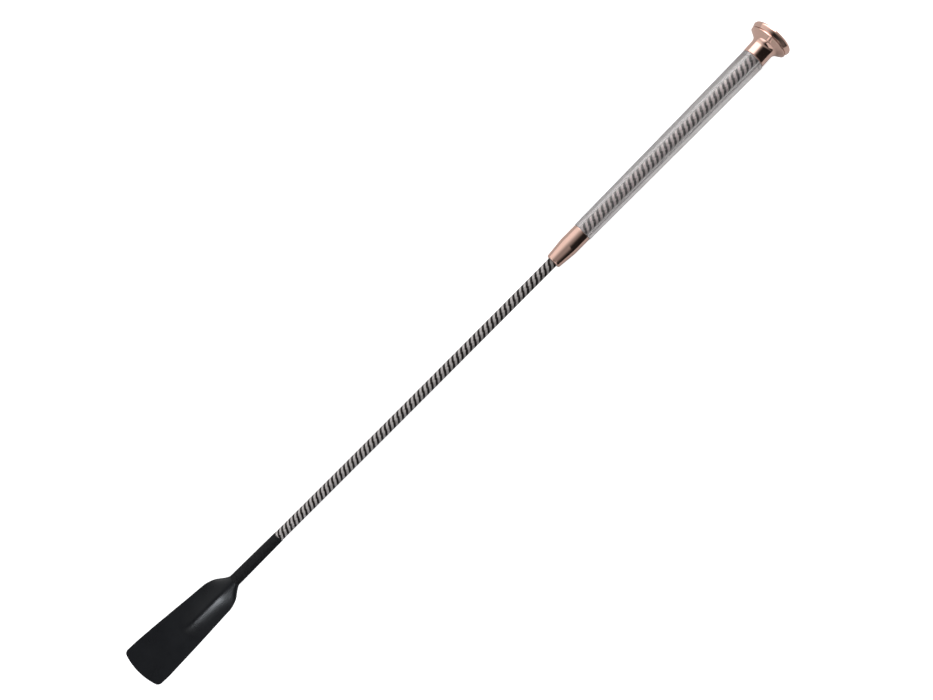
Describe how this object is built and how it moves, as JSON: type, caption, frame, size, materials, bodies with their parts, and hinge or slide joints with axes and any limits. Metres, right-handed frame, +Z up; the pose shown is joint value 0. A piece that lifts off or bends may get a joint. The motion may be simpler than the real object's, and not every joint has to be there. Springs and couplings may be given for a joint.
{
  "type": "riding crop",
  "caption": "Riding crop: a braided tapered rod with a soft clear grip tube, a metal ferrule, a mushroom cap and a flexing leather flap.",
  "frame": {"origin": "middle of the crop's box on the surface it lies on", "axes": "+X along the crop from the flap to the cap, +Y across the flap, +Z up from the surface it lies on, out of the flap's front leaf"},
  "size_m": [0.65, 0.035, 0.0322],
  "materials": {
    "flap_leather": "smooth black leather with a soft sheen",
    "filler_felt": "pressed felt cord",
    "binding_thread": "waxed black thread, wound close",
    "striped_braid": "braided thread in dark brown and silver-white spiral stripes",
    "glass_fibre": "pulled glass fibre rod",
    "rose_gold": "polished and rose-gold plated",
    "bush_plastic": "moulded black plastic",
    "clear_gel": "soft clear gel with a faint haze",
    "braid_tape": "woven tape"
  },
  "bodies": {
    "shaft": {"front_leaf_tail": "flap_leather", "back_leaf_tail": "flap_leather", "neck_binding": "binding_thread", "shaft_braid": "striped_braid", "core_rod": "glass_fibre", "ferrule": "rose_gold", "ferrule_bush": "bush_plastic", "grip_sleeve": "clear_gel", "cap_body": "rose_gold", "cap_top": "rose_gold", "cap_bush": "bush_plastic", "braid_end_tape": "braid_tape"},
    "flap": {"flap_front_leaf": "flap_leather", "flap_back_leaf": "flap_leather", "flap_filler": "filler_felt"}
  },
  "joints": [
    {"name": "flap_flex", "type": "hinge", "parent": "shaft", "child": "flap", "pos_m": [-0.237, -0.00141, 0.00447], "axis": [0, 1, 0], "range_deg": [-40, 40], "stiffness_Nm_per_rad": 0.3}
  ]
}
